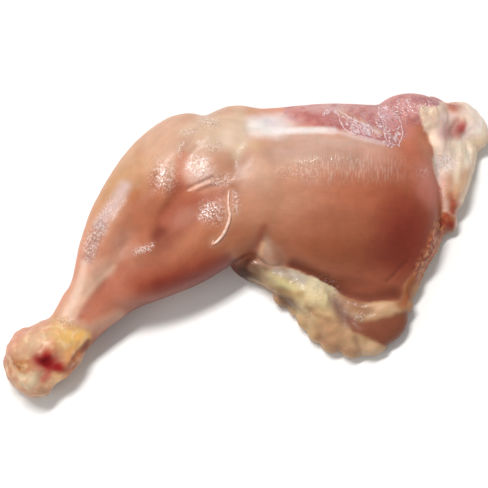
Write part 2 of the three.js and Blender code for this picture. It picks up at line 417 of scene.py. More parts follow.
def camera_place():
    return np.array(VIEW_TARGET) - VIEW_DISTANCE * camera_axes()[2]


def seen_at(points):
    """Where the photograph shows each point: mm right of and above its middle, at the leg."""
    right, up, forward = camera_axes()
    from_camera = points - camera_place()
    scale = VIEW_DISTANCE / (from_camera @ forward)
    return np.stack([from_camera @ right * scale, from_camera @ up * scale], -1)


def linear(colour):
    """A colour in everyday 0 to 255 values as the linear values that shaders use."""
    share = np.array(colour, float) / 255
    return np.where(share <= 0.04045, share / 12.92, ((share + 0.055) / 1.055) ** 2.4)


def smooth(value, start, end):
    """0 below the start and 1 above the end, with a soft rise between."""
    share = np.clip((value - start) / (end - start), 0, 1)
    return share * share * (3 - 2 * share)


def rough_noise(points, scale, octaves=3, seed=0.0):
    """Noise between about -1 and 1, the same on each run, with bumps of the given size in mm."""
    shift = Vector((seed * 17.3, seed * 9.1, seed * 5.7))
    return np.array([noise.fractal(Vector(point) / scale + shift, 1.0, 2.0, octaves) for point in points])


def away_from(seen, start, end):
    """Distance in mm from a straight line between two places."""
    start, end = np.array(start, float), np.array(end, float)
    span = end - start
    share = np.clip((seen - start) @ span / (span @ span), 0, 1)
    return np.linalg.norm(seen - start - share[:, None] * span, axis=1)


# Lines that are used twice, such as painted and raised, or painted and laid over as a strand.
CURLED_SINEW = [
    (-6, 21.5), (-6.3, 18), (-6.1, 14.5), (-5.6, 11.2), (-6.6, 7.4),
    (-8.4, 3.8), (-10.8, 1), (-12.6, 0), (-12.2, 1.4),
]
KNEE_GROOVE = [(-22.8, 22.8), (-17, 24.8), (-12.6, 26.8)]
KNEE_RIDGE = [(-22, 21.6), (-17.6, 23.2), (-13.8, 24.9)]
KNEE_FOLD = [(-18.5, 21.4), (-13, 23.4), (-10, 23.6)]
NECK_TENDON = [(-70, -31), (-62, -34), (-50, -28)]
THIGH_NICK = [(57, -14.8), (60, -12.2), (62.4, -9.2), (65, -7)]
HOLLOW_LIP = [(7, -6.6), (15, -8.6)]


class Skin:
    """The leg's vertices with all that is painted on them.

    Places are where the photograph shows them, in mm right of and above its middle. The borders of
    spots and areas wander a little, as those of meat and fat do, and lines stay where they are put.
    """

    def __init__(self, points, outward):
        self.points = points
        self.outward = outward
        self.exact = seen_at(points)
        wander = np.stack([rough_noise(points, 9, seed=1), rough_noise(points, 9, seed=2)], -1)
        steep = 1 - smooth(outward[:, 2], 0, 0.4)
        self.seen = self.exact + (1.1 + 2.5 * steep)[:, None] * wander
        self.faced = smooth(outward @ -camera_axes()[2], -0.15, 0.12)
        self.colour = np.tile(linear(BARE_MEAT), (len(points), 1))
        self.wet = np.full(len(points), BARE_WETNESS)
        self.ripple = np.full(len(points), BARE_RIPPLE)
        self.rough = np.full(len(points), BARE_ROUGHNESS)
        self.film, self.comb, self.lace, self.fat, self.blood = np.zeros((5, len(points)))
        self.relief, self.smoothness = np.zeros((2, len(points)))

    def spot(self, centre, size, turn=0, edge=0.5):
        """1 inside an ellipse, fading to 0 over the given share of its radius."""
        way = direction(turn)
        dx, dy = (self.seen - centre).T
        run = (dx * way[0] + dy * way[1]) / (size[0] / 2)
        side = (dy * way[0] - dx * way[1]) / (size[1] / 2)
        return self.faced * (1 - smooth(np.sqrt(run**2 + side**2), 1 - edge, 1 + edge))

    def line(self, stops, width, edge=0.6):
        """1 along a line through stops, fading to 0 at its sides."""
        near = np.min([away_from(self.exact, a, b) for a, b in zip(stops, stops[1:])], axis=0)
        return self.faced * (1 - smooth(near / (width / 2), 1 - edge, 1 + edge))

    def area(self, outline, edge=1.0):
        """1 inside a closed outline, fading to 0 over the given distance across it."""
        corners = list(zip(outline, outline[1:] + outline[:1]))
        near = np.min([away_from(self.seen, a, b) for a, b in corners], axis=0)
        inside = np.zeros(len(self.seen), bool)
        x, y = self.seen.T
        for (ax, ay), (bx, by) in corners:
            if ay != by:
                inside ^= ((ay > y) != (by > y)) & (x < (bx - ax) * (y - ay) / (by - ay) + ax)
        return smooth(np.where(inside, near, -near), -edge, edge)

    def tint(self, mask, colour, strength=1.0):
        """Moves the colour towards another by a mask."""
        self.colour += (strength * mask)[:, None] * (linear(colour) - self.colour)

    def mottle(self, mask, scale, seed, edges, colour, strength):
        """Tints where noise with bumps of the given size rises from one edge to the other."""
        self.tint(mask * smooth(rough_noise(self.points, scale, seed=seed), *edges), colour, strength)

    def spots(self, *strokes, inside=1.0):
        """Tints soft ellipses: centre, size, turn, colour and strength."""
        for centre, size, turn, colour, strength in strokes:
            self.tint(inside * self.spot(centre, size, turn, 0.85), colour, strength)

    def lines(self, *strokes, inside=1.0):
        """Tints soft lines: stops, width, colour and strength."""
        for stops, width, colour, strength in strokes:
            self.tint(inside * self.line(stops, width, 0.9), colour, strength)


def paint_muscles(skin):
    """The broad colours of the meat, from the pale knee to the dark hollow of the thigh, with painted shade
    and painted highlights among them.
    """
    skin.spots(
        ((-46, 28), (24, 44), -35, (180, 132, 88), 1),
        ((-28, 42), (44, 24), 20, (194, 153, 130), 1),
        ((-17, 43), (16, 14), 20, (180, 141, 118), 0.9),
        ((-21.6, 46), (10, 6), 10, (210, 178, 156), 0.7),
        ((-37.5, 29.5), (8, 9), 0, (204, 160, 128), 0.7),
        ((-34.5, 24.5), (8, 11), 0, (164, 110, 82), 0.8),
        # Painted highlight: whitish under the glitter on the drumstick's outer lobe.
        ((-29.4, 29), (8, 13), 0, (222, 186, 166), 0.85),
        # Painted light: lighter on this slope, which lies in shade.
        ((-31.8, 19), (9, 8), 0, (222, 156, 122), 0.85),
        ((-42, 12), (14, 22), -25, (160, 92, 60), 0.85),
        ((-38, 8), (20, 40), -30, (166, 96, 66), 0.85),
        ((-50, 0), (9, 14), -30, (180, 128, 108), 0.8),
        ((-44, -12), (40, 12), 45, (166, 102, 76), 0.8),
    )
    skin.lines(
        ([(-43, 40), (-42, 32), (-40, 20)], 3, (176, 122, 80), 0.3),
        ([(-24, 34), (-26, 23)], 5, (200, 120, 90), 0.9),
        # Painted shade: these three lines darken the valley between the drumstick's muscles and the band
        # under the knee's lobe.
        ([(-28.5, 14), (-31.5, 8), (-34, 3)], 6, (104, 28, 10), 0.95),
        ([(-26, 22), (-28, 16), (-31, 10)], 6, (158, 82, 58), 0.9),
        ([(-31, 10), (-25, 15.4), (-18, 18.4), (-6, 20)], 5.5, (164, 90, 68), 0.95),
    )
    skin.spots(
        # Painted highlight: whitish on the knee's rounded lobe.
        ((-16.6, 29.8), (13, 11), 0, (230, 200, 188), 0.85),
        ((-9, 34), (8, 6), 20, (206, 146, 116), 0.7),
        # Painted highlight: a small whitish spot beside the knee's creases.
        ((-9.5, 25.2), (9, 5), 10, (210, 166, 146), 0.7),
        ((-5, 31), (14, 10), 40, (192, 134, 106), 0.7),
        ((-5, 21), (7, 7), 0, (130, 76, 56), 0.9),
        ((-13.5, 21.8), (8, 4), 20, (190, 136, 114), 0.8),
        ((-20, 12), (20, 8), 28, (146, 84, 66), 0.85),
        ((-30, 1), (26, 9), 42, (140, 76, 56), 0.9),
        ((-14, 1), (40, 14), 40, (174, 106, 74), 0.9),
        ((-23, 10.6), (12, 6), 35, (184, 124, 106), 0.6),
        ((-12, 12.8), (8, 8), 0, (166, 114, 94), 0.8),
        ((-3.2, 12), (6, 9), 0, (190, 142, 116), 0.7),
        ((0, 2), (9, 13), 0, (198, 116, 80), 0.85),
    )
    skin.lines(
        # Darker along the drumstick's lower edge: partly the calf's redder meat, partly painted shade.
        ([(-52, -23), (-30, -15), (-12, -9)], 13, (156, 66, 42), 0.9),
        ([(-34, -17), (-20, -14), (-6, -9)], 6, (134, 42, 24), 0.85),
        ([(-16, -9.5), (-7, -6)], 4, (146, 54, 28), 0.8),
        # Painted light: lighter along the ankle's lower edge, which lies in shade.
        ([(-60, -32), (-50, -22)], 12, (198, 126, 100), 0.8),
    )
    skin.spots(
        ((20, 36), (60, 18), 0, (188, 144, 120), 1),
        ((50, 35), (40, 18), -5, (198, 150, 134), 0.8),
        ((30, 41.5), (36, 4), -4, (182, 152, 138), 0.7),
        # Painted shade: darker on the knee's front slope, which faces the key lamp.
        ((-1, 28), (8, 22), 0, (158, 110, 88), 0.85),
        ((7, 25), (13, 16), 10, (206, 166, 144), 0.85),
        ((3, 40), (8, 5), 0, (196, 160, 126), 0.6),
        ((24, 17), (50, 18), 0, (184, 130, 104), 0.9),
        ((30, 25), (14, 5), 0, (188, 136, 116), 0.7),
        ((6, 11), (12, 12), 0, (202, 142, 112), 0.7),
        ((50, 18), (40, 24), 0, (172, 96, 66), 0.9),
        ((38, 10), (36, 10), 0, (150, 86, 60), 0.7),
        # From here on, darker towards the thigh's lower right: partly the meat's redder colour, partly
        # painted shade.
        ((66, 12), (26, 36), -10, (154, 74, 50), 0.9),
        ((22, -1), (50, 16), -8, (164, 104, 76), 0.9),
        ((15, -2), (9, 7), 0, (148, 92, 72), 0.7),
        ((44, -4), (50, 20), -8, (142, 72, 44), 0.9),
        ((64, 0), (24, 34), -20, (120, 38, 24), 0.9),
        ((50, -17), (40, 12), -8, (148, 78, 54), 0.9),
    )
    skin.lines(
        ([(12, 37), (28, 37), (44, 34)], 7, (170, 128, 108), 0.8),
        # Painted shade in the crease where the thigh's meat meets the fat.
        ([(20, -8), (28, -12), (36, -17), (42, -20), (50, -21.5), (60, -20)], 5, (108, 50, 32), 0.9),
        (THIGH_NICK, 1.2, (96, 36, 30), 0.42),
        # Painted shade in the knee's upper crease.
        (KNEE_GROOVE, 1, (124, 68, 54), 0.6),
        (KNEE_RIDGE, 0.9, (240, 200, 182), 0.7),
        # Painted shade in the knee's lower crease.
        (KNEE_FOLD, 1.2, (136, 74, 58), 0.5),
    )


def paint_sides(skin):
    """Greyer meat where it turns down at the back, painted shade where it turns down in front, and blotched
    where it is unseen.
    """
    steep = smooth(-skin.outward[:, 2], -0.45, 0)
    back = smooth(skin.outward @ (-0.6, 0.8, 0), 0.1, 0.6)
    front = smooth(skin.outward @ (0.3, -0.95, 0), 0.1, 0.6)
    skin.tint(steep * back, (176, 138, 128), 0.4)
    # Painted shade: darker where the meat turns down at the front.
    skin.tint(steep * front, (112, 46, 30), 0.6)
    unseen = 1 - skin.faced
    skin.mottle(unseen, 14, 12, (-0.1, 0.3), (206, 158, 134), 0.7)
    skin.mottle(unseen, 18, 13, (0, 0.3), (152, 84, 66), 0.6)


def paint_hip(skin):
    """The raw muscle that the cut laid bare along the top, and the bulge beside the hip."""
    lower_edge = [(15, 57), (16, 51), (21, 48), (31, 47), (41, 45), (48, 42.6), (56, 40.8), (62, 39)]
    raw = skin.area(lower_edge + [(65, 44), (66, 56), (40, 60)])
    ragged_end = smooth(skin.seen[:, 0] + 9 * rough_noise(skin.points, 14, seed=14), 12, 30)
    raw *= 1 - smooth(-skin.outward[:, 2], -0.4, -0.1) * (1 - ragged_end)
    skin.tint(raw, (192, 128, 122))
    skin.spots(
        ((30, 50), (20, 8), -15, (180, 116, 110), 0.8),
        ((34, 54), (18, 4), -5, (196, 160, 158), 0.7),
        ((36, 48.5), (14, 5), -30, (172, 108, 106), 0.7),
        ((47, 44.5), (14, 5), -32, (196, 138, 142), 0.7),
        ((58, 51), (14, 11), -20, (206, 150, 154), 0.8),
        ((59, 43), (8, 8), 0, (196, 138, 140), 0.8),
        inside=raw,
    )
    skin.lines(([(38, 53), (46, 49.5), (54, 44.4)], 2, (212, 174, 150), 0.7), inside=raw)
    skin.mottle(raw, 3.5, 6, (0, 0.4), (160, 78, 78), 0.48)
    bump = skin.area([(54, 60), (57, 54), (64, 47), (71, 47), (80, 54), (82, 62)])
    skin.tint(bump, (196, 134, 130))
    skin.mottle(bump, 3, 7, (0, 0.4), (160, 84, 86), 0.5)
    skin.lines(([(68, 58), (76, 57), (80, 55)], 2.5, (158, 88, 96), 0.6), inside=bump)
    skin.ripple += 0.6 * raw + 0.8 * bump
    skin.lace = np.maximum(raw * smooth(skin.seen[:, 0], 30, 42), 0.6 * bump)
    skin.spots(
        ((67, 36), (14, 22), 5, (184, 106, 80), 0.9),
        ((65, 46), (6, 6), 0, (190, 122, 116), 0.6),
        ((74, 24), (9, 15), 12, (198, 124, 108), 0.95),
        ((73, 20), (5, 6), 0, (180, 100, 84), 0.6),
    )


def paint_silverskin_and_painted_sheen(skin):
    """The whitish sheets and tendons that lie on the meat, with a painted highlight and a painted reflection
    on them.
    """
    skin.spots(
        # The whitish sheet along the top, its whitest spots a painted highlight.
        ((8, 47.4), (20, 8), 0, (226, 218, 218), 0.95),
        ((12, 48.5), (10, 6), -10, (206, 192, 194), 0.8),
        ((6, 44.4), (10, 3), 0, (238, 222, 212), 0.7),
        ((3, 48), (7, 5), 0, (246, 242, 242), 0.7),
    )
    skin.lines(
        ([(3, 45.4), (18, 45.3), (31, 45.6), (36, 45.3)], 2.3, (222, 212, 210), 0.9),
        ([(34, 45.3), (41, 44), (48, 41.8), (56, 40)], 1.4, (214, 184, 180), 0.75),
        # Pale sheet down the drumstick's left side, made lilac and lighter by a painted reflection, greyer at
        # its lower end.
        ([(-48, 23), (-52.6, 15.4), (-57.5, 8)], 5, (200, 176, 176), 0.7),
        ([(-57, 7), (-60, 1), (-62, -6)], 5, (158, 126, 120), 0.7),
        ([(-72, -30), (-66, -21), (-60, -13), (-56, -10)], 7, (204, 168, 146), 0.8),
        ([(-74, -33), (-69, -25), (-65.6, -17), (-64, -8)], 3, (228, 200, 184), 0.55),
        ([(-69, -31), (-63.6, -22), (-59, -16), (-52, -9)], 2.2, (222, 186, 164), 0.45),
        ([(-66, -30), (-61, -22), (-55, -15)], 2.4, (156, 88, 72), 0.45),
        ([(-60, -11), (-50, -5), (-43, -2)], 4, (184, 134, 114), 0.6),
        ([(-64, -27), (-56, -17), (-48, -10)], 4, (166, 94, 72), 0.5),
        (NECK_TENDON, 4, (210, 168, 146), 0.6),
        (CURLED_SINEW, 3, (200, 148, 124), 0.5),
    )
    for stops, width, amount in (
        ([(2, 46), (31, 45.6), (41, 44), (56, 40.2)], 4, 0.2),
        ([(2, 48), (16, 48)], 7, 0.4),
        ([(-49, 22), (-53, 15), (-58, 7)], 5, 0.22),
    ):
        skin.wet = np.maximum(skin.wet, amount * skin.line(stops, width, 0.8))


def paint_knee(skin):
    """The knee's cream fat, its yellow seam and the small orange nub on its edge."""
    skin.spots(
        ((-9, 46), (20, 15), 10, (198, 170, 148), 0.9),
        ((-5, 41.6), (8, 7), 0, (218, 192, 174), 0.85),
        ((-12, 53), (10, 4), 10, (178, 144, 124), 0.6),
        ((4, 53.8), (4, 3), 0, (188, 138, 98), 0.6),
    )
    skin.lines(([(-2, 53), (-2, 40), (-3, 36)], 5, (196, 170, 144), 0.7))


def paint_fat(skin):
    """Fat and the limp tissue round the thigh's cut, with painted shade in its folds, creases and pit, and a
    painted highlight on the wedge below the knee.
    """
    upper_edge = [
        (3, -7), (7, -7.5), (14, -8.5), (22, -11.5), (28, -13),
        (34, -17), (40, -21.6), (46, -24), (54, -23.4), (63, -23),
    ]
    rim = [(64, -16), (68, -12), (71, -9), (72.5, -4), (74, 0), (75, 5), (77.5, 9), (81, 13)]
    fat = skin.area(upper_edge + rim + [(90, 10), (80, -24), (66, -44), (50, -52), (26, -46), (0, -20)], 0.7)
    skin.tint(fat, (180, 142, 106))
    skin.spots(
        # Painted shade in the fold where the fat meets the knee.
        ((8, -9), (10, 5), -20, (108, 76, 60), 0.85),
        ((11, -14), (12, 5), -30, (168, 150, 118), 0.85),
        ((18, -17), (14, 6), -35, (200, 186, 136), 0.85),
        ((22, -14), (16, 5), -35, (176, 164, 142), 0.85),
        ((29, -17), (14, 9), -40, (220, 208, 176), 0.9),
        ((30, -23), (13, 9), -45, (222, 200, 154), 0.9),
        ((22.4, -25.2), (8, 6), -50, (208, 184, 142), 0.85),
        ((31, -29), (11, 7), -40, (186, 150, 108), 0.85),
        ((27, -33.5), (9, 7), -50, (184, 152, 110), 0.85),
        ((35, -35), (11, 8), -35, (182, 138, 104), 0.85),
        ((50, -42), (13, 6), -5, (192, 158, 126), 0.85),
        ((54, -43), (6, 4), 0, (214, 178, 142), 0.7),
        ((55, -25.4), (13, 5), 0, (208, 168, 132), 0.85),
        ((47, -26), (9, 5), -10, (150, 104, 76), 0.85),
        ((46.4, -29.6), (4, 3), 0, (142, 104, 78), 0.7),
        inside=fat,
    )
    # Painted shade under the first lobe of fat.
    skin.tint(fat * skin.spot((16.5, -21.5), (12, 5), -42, 0.7), (94, 58, 40), 0.9)
    skin.lines(
        ([(13, -10.5), (18, -12), (24, -14.5)], 3, (170, 154, 142), 0.8),
        ([(13, -18), (18, -20), (23, -20)], 2.5, (164, 130, 84), 0.7),
        ([(36.5, -23.5), (39, -27.5), (42, -31)], 5, (138, 100, 92), 0.85),
        ([(41, -22.6), (47, -24.6)], 3, (140, 94, 66), 0.7),
        # Painted shade in the creases between the lobules, in these three lines.
        ([(30, -37), (36, -41), (44, -43)], 3, (152, 108, 80), 0.6),
        ([(25, -25), (29, -28), (34, -30)], 1.8, (156, 116, 80), 0.6),
        ([(44, -37), (46, -42)], 2, (146, 104, 80), 0.6),
        ([(81, 13), (80, 9), (77, 4), (75, 1)], 6, (172, 70, 36), 0.95),
        ([(75, 0), (72.5, -6), (69, -12)], 6, (158, 70, 32), 0.95),
        ([(79, 2), (75.8, -6), (71, -13)], 3, (192, 104, 46), 0.85),
        ([(67, -16), (64, -23)], 6, (150, 80, 42), 0.95),
        ([(69, -17), (66.5, -26)], 2.4, (186, 128, 78), 0.8),
        inside=fat,
    )
    grains = skin.line([(79, 9), (76, 2), (73, -5), (70, -11)], 4, 0.8)
    skin.mottle(grains, 1.8, 8, (0.05, 0.3), (226, 154, 108), 0.8)
    skin.mottle(grains, 1.8, 9, (0.05, 0.3), (120, 40, 24), 0.7)
    skin.ripple = np.maximum(skin.ripple, grains)
    skin.relief += 0.5 * grains * rough_noise(skin.points, 2.2, 2, seed=15)
    tab_top = [(41, -29), (46, -31), (52, -30), (58, -28.5), (68, -26)]
    tab = skin.area(tab_top + [(66, -38), (58, -41.5), (50, -38), (44, -35.5)])
    skin.tint(tab, (130, 68, 46), 0.95)
    skin.tint(tab * skin.spot((43, -32), (7, 7), 0, 0.9), (140, 88, 68), 0.7)
    hollow = skin.area([(5, -6.5), (5.5, -1), (7, 4), (9, 4), (13, 0), (17, -6.5)], 1.2)
    skin.tint(hollow, (158, 110, 88), 0.8)
    skin.tint(skin.spot((9, -1), (4, 7), 15, 0.9), (184, 150, 128), 0.85)
    skin.lines(
        # Painted highlight on the wedge's left edge.
        ([(7.4, 0), (6.4, -4.5)], 2.2, (212, 164, 130), 0.8),
        # Painted shade in the crease beside the wedge.
        ([(8, 7), (6.8, 4), (5, 0), (2, -6)], 2.8, (150, 74, 50), 0.65),
        (HOLLOW_LIP, 3, (176, 138, 118), 0.8),
    )
    # Painted shade: the dark pit under the knee, between the drumstick and the fat.
    skin.spots(
        ((2, -8), (6, 3), -40, (140, 66, 48), 0.7),
        ((1, -12), (12, 6), -25, (58, 28, 18), 0.95),
        ((4.5, -10), (5, 3), -40, (112, 80, 60), 0.8),
    )
    skin.fat = fat * (1 - tab)


def paint_flap(skin):
    """The cream flap of fat over the hip, with the red spots where it was cut."""
    meat_border = [
        (70.3, 55.5), (71, 51), (73, 45.5), (75, 41), (75.8, 38),
        (75.5, 30), (77, 26), (79, 23), (80, 18), (80, 13),
    ]
    around = [(84, 11), (92, 8), (104, 30), (104, 66), (84, 66), (82, 57), (77, 55.5)]
    flap = skin.area(meat_border + around, 0.6)
    skin.tint(flap, (238, 216, 194))
    strings = rough_noise(skin.points * (1, 0.22, 1), 2.4, seed=16)
    skin.tint(flap * smooth(strings, 0, 0.4), (206, 172, 146), 0.4)
    skin.tint(flap * smooth(-strings, 0, 0.4), (250, 238, 222), 0.4)
    skin.relief += 0.3 * flap * strings
    skin.spots(
        ((73.5, 52), (6, 10), 15, (222, 186, 158), 0.8),
        ((74.8, 45), (4, 12), 20, (250, 222, 200), 0.8),
        ((79.5, 47), (5, 11), 5, (208, 168, 162), 0.8),
        ((80.5, 43.6), (6, 5), -20, (184, 144, 142), 0.85),
        ((82, 50.6), (8, 3), 10, (240, 212, 208), 0.8),
        ((84.6, 46.4), (6, 7), -15, (188, 118, 112), 0.9),
        ((86.8, 46), (3.4, 6), -15, (178, 72, 72), 0.9),
        ((84, 46.6), (1.6, 5), -15, (224, 172, 166), 0.7),
        ((89.4, 45), (3, 7), -20, (254, 228, 222), 0.9),
        ((84, 54.8), (8, 5.5), 0, (168, 94, 76), 0.95),
        ((91, 53), (8, 6), -30, (222, 200, 190), 0.8),
        ((93.5, 47), (6, 9), -20, (248, 230, 222), 0.8),
        ((95.5, 41), (6, 4), 0, (230, 198, 166), 0.8),
        ((80, 38.4), (8, 4), 0, (216, 188, 174), 0.7),
        ((80, 32.4), (9, 9), 10, (228, 204, 196), 0.95),
        ((78.5, 26), (3, 7), 20, (220, 180, 174), 0.8),
        ((81.8, 25.5), (4, 6), 0, (196, 146, 122), 0.9),
        ((85.6, 25), (4, 8), -10, (218, 190, 162), 0.8),
        ((83, 20.5), (9, 5), -10, (200, 142, 112), 0.9),
        ((88.5, 26), (4, 9), -20, (216, 168, 134), 0.8),
        inside=flap,
    )
    skin.lines(
        ([(79.5, 24), (79.8, 17), (80, 12)], 1.6, (232, 176, 160), 0.8),
        ([(83.8, 18), (83.2, 12), (82.5, 6)], 4.4, (170, 72, 42), 0.95),
        ([(87, 14), (85.8, 8)], 2.4, (224, 172, 150), 0.9),
        ([(85, 23), (84.6, 19)], 2.4, (226, 176, 138), 0.7),
        inside=flap,
    )
    skin.spots(
        ((82.4, 7), (5, 5), 0, (136, 40, 22), 0.95),
        ((85.6, 9), (2.6, 6), -10, (250, 204, 190), 0.9),
    )
    skin.fat = np.maximum(skin.fat, 0.4 * flap)


def paint_knuckle(skin):
    """The sawn-off ankle: gristle, a yellow patch of fat and the blood in the bone."""
    neck = [(-78, -28), (-71, -29), (-62, -36), (-58, -44)]
    end = skin.area(neck + [(-75, -66), (-104, -60), (-104, -36)], 1.5)
    skin.tint(end, (192, 146, 114))
    skin.spots(
        ((-84, -39), (14, 8), 30, (204, 170, 140), 0.8),
        ((-89, -44), (10, 10), 30, (192, 150, 116), 0.9),
        ((-93, -48), (6, 11), 0, (168, 110, 82), 0.85),
        ((-89, -49.4), (9, 5), -10, (168, 102, 58), 0.85),
        ((-82, -46), (8, 5), 0, (166, 98, 76), 0.8),
        ((-77.5, -42), (6, 5), 0, (190, 112, 74), 0.8),
        ((-70, -37), (14, 9), -20, (216, 176, 112), 0.9),
        ((-66, -37.6), (13, 8), 10, (228, 182, 110), 0.9),
        # Painted light: brighter orange where the neck turns down into shade.
        ((-67.8, -44), (8, 6), 20, (252, 176, 104), 0.85),
        # Painted light: this spot and the next lighten the knuckle's lower side, which faces away from the
        # lamps.
        ((-72, -52), (9, 7), 20, (246, 188, 130), 0.95),
        ((-78, -55), (5, 5), 0, (252, 198, 154), 0.95),
        ((-86, -54), (7, 9), -20, (196, 176, 148), 0.9),
        ((-69, -50.2), (4, 8), -35, (172, 78, 24), 0.95),
        ((-88, -48.6), (6, 5), 0, (184, 116, 56), 0.85),
        # Painted light: lighter on the knuckle's lower side, which lies in shade.
        ((-73.4, -52.4), (6, 5), 0, (255, 206, 146), 0.8),
        # Painted light: lighter on the neck's shaded side.
        ((-63.8, -38), (6, 6), 0, (255, 196, 112), 0.95),
        inside=end,
    )
    skin.mottle(end, 3, 10, (0.1, 0.4), (206, 136, 110), 0.35)
    skin.mottle(end, 3, 11, (0.1, 0.4), (236, 208, 172), 0.35)
    skin.lines(
        ([(-97, -46), (-92, -37), (-80, -31)], 4, (196, 134, 116), 0.6),
        ([(-70, -48), (-65, -43), (-62, -39)], 2, (158, 74, 46), 0.7),
        ([(-77, -50), (-80, -54)], 3, (206, 104, 88), 0.85),
        inside=end,
    )
    for centre, size, turn in (
        ((-79, -46.8), (9.6, 6), 5),
        ((-74.4, -48.8), (8, 4.6), -30),
        ((-78.8, -45), (5, 4), 10),
    ):
        skin.blood = np.maximum(skin.blood, skin.spot(centre, size, turn, 0.7))
    skin.tint(skin.blood, (166, 20, 26), 0.98)
    skin.spots(
        ((-79.4, -46.8), (9, 4), -10, (120, 0, 6), 0.95),
        # Painted shade: dark red-brown on the neck's shaded side, beside the blood.
        ((-61, -41), (5, 7), -40, (130, 24, 0), 0.95),
    )


def add_gloss(skin):
    """Where the wet surface glitters and pale highlight grains are painted into its colour, and where the
    meat has dried.
    """
    # Each place raises the gloss and the ripple and has pale highlight grains painted into its colour.
    for centre, size, turn, amount in (
        ((-32.2, 27.7), (10, 12), 0, 0.9),
        ((-17.2, 30.5), (9, 9), -40, 1),
        ((-9.6, 25.4), (8, 4), 15, 1),
        ((-12.4, 12.8), (9, 9), 0, 1),
        ((-3.6, 15.6), (3, 9), 0, 0.7),
        ((-60, 1), (6, 16), -20, 0.8),
        ((-55, 13), (4, 12), -28, 0.5),
        ((-40, -2), (7, 3), 40, 0.9),
        ((-22.5, 45), (7, 3), 10, 0.7),
        ((-14, 49), (9, 4), -20, 0.7),
        ((-12, 39), (8, 4), 20, 0.5),
        ((-25, 38), (2, 7), 0, 0.6),
        ((80, 32.4), (8, 8), 0, 1),
        ((72, 28), (5, 4), 0, 0.4),
        ((79.5, 20), (2, 8), 5, 0.6),
        ((76.2, 0), (3, 14), -25, 0.2),
        ((70, -13), (3, 10), -28, 0.12),
        ((29, -19), (6, 7), 0, 0.4),
        ((27, -29), (4, 4), 0, 0.3),
        ((46.5, -29), (5, 3), 20, 0.5),
        ((33, -18), (10, 8), -40, 0.4),
        ((22, 29), (16, 6), 0, 0.4),
        ((52, 46), (14, 8), -35, 0.3),
        ((66, 54), (18, 6), 0, 0.5),
        ((-71, -31), (6, 4), 0, 0.6),
    ):
        skin.film = np.maximum(skin.film, amount * skin.spot(centre, size, turn, 0.7))
    for centre, size, turn in (
        ((-27, 9), (44, 19), 48),
        ((-43.4, 19.4), (6, 7), 0),
        ((-18, 20), (14, 8), 20),
        ((-5, 22), (8, 6), 30),
        ((50, -21), (34, 6), -3),
    ):
        dry = skin.spot(centre, size, turn)
        skin.wet *= 1 - dry
        skin.rough += DRYING * dry * (1 - skin.film)
    # The fine ridges over the thigh: glossier, and with pale highlight streaks painted into the colour.
    skin.comb = skin.spot((42, 30), (44, 11), 0, 0.6)
    skin.wet = np.maximum.reduce([skin.wet, 0.8 * skin.film, 0.6 * skin.comb, 0.15 * skin.fat])
    skin.ripple = np.maximum.reduce([skin.ripple, skin.film, 0.5 * skin.fat])
    for stops, width in (
        ([(30, -15), (38, -18.5), (48, -21), (60, -20)], 4),
        ([(10, 38), (32, 38)], 9),
    ):
        skin.wet *= 1 - 0.9 * skin.line(stops, width)
    skin.wet *= 1 - skin.blood
    skin.rough += DRYING * skin.blood


def add_relief(skin):
    """Folds, creases and lobules that are too small for the lobes, in mm outwards, and painted shade in the
    creases between the fat's lobules.
    """
    points = skin.points
    skin.relief += 0.2 * rough_noise(points, 11, seed=3)
    lobules = 0.5 - np.abs(rough_noise(points, 7, 2, seed=4))
    skin.relief += skin.fat * 0.95 * lobules
    # Painted shade: the fat is darker in the creases between its lobules.
    skin.tint(skin.fat * (1 - smooth(lobules, 0, 0.2)), (150, 108, 78), 0.2)
    skin.relief += 0.7 * share_of("bone end", points) * rough_noise(points, 5, seed=5)
    for centre, size, turn in (
        ((-28, 10), (44, 20), 46),
        ((-44, 17), (24, 20), -40),
        ((21, 38), (24, 8), 0),
        ((46, -19), (40, 9), -12),
    ):
        skin.smoothness = np.maximum(skin.smoothness, skin.spot(centre, size, turn))
    for stops, width, height in (
        (KNEE_GROOVE, 1.2, -0.4),
        (KNEE_RIDGE, 1.1, 0.14),
        (KNEE_FOLD, 1.2, -0.3),
        ([(-27, 31), (-25, 24), (-29, 15), (-32, 8)], 6, -0.4),
        (THIGH_NICK, 1.4, -0.25),
        ([(-40, 42), (-39, 34), (-37, 26)], 2, -0.2),
        ([(-71, -29), (-66, -18), (-59, -11), (-43, -2)], 5, 0.5),
        ([(-64, -26), (-56, -16), (-48, -9)], 3, -0.3),
        (NECK_TENDON, 4, 0.3),
        ([(4, 45.6), (31, 45.6), (41, 44.2), (48, 42), (58, 39.8)], 1.8, 0.3),
        (HOLLOW_LIP, 3, 0.4),
        ([(73, 54), (77, 42), (77, 32), (80, 23)], 2.5, -0.4),
        ([(76, 54), (79, 48), (79.5, 41)], 1.6, 0.3),
        ([(86, 52), (91, 40), (90, 30)], 2.5, 0.5),
        ([(83.4, 45), (86, 49.5)], 2.5, -0.5),
        ([(-68, -46), (-62, -39)], 2, -0.7),
    ):
        skin.relief += height * skin.line(stops, width, 0.8)


# ---------------------------------------------------------------- meshes


def placed(name, data):
    """A new object in the scene."""
    thing = bpy.data.objects.new(name, data)
    bpy.context.scene.collection.objects.link(thing)
    return thing


def mesh_object(name, vertices, faces, smooth_faces=True):
    """A mesh object from points in millimetres."""
    mesh = bpy.data.meshes.new(name)
    mesh.vertices.add(len(vertices))
    mesh.vertices.foreach_set("co", (np.asarray(vertices) * MM).ravel())
    mesh.loops.add(faces.size)
    mesh.loops.foreach_set("vertex_index", faces.ravel())
    mesh.polygons.add(len(faces))
    mesh.polygons.foreach_set("loop_start", np.arange(0, faces.size, faces.shape[1]))
    mesh.polygons.foreach_set("use_smooth", np.full(len(faces), smooth_faces))
    mesh.update()
    mesh.validate()
    return placed(name, mesh)


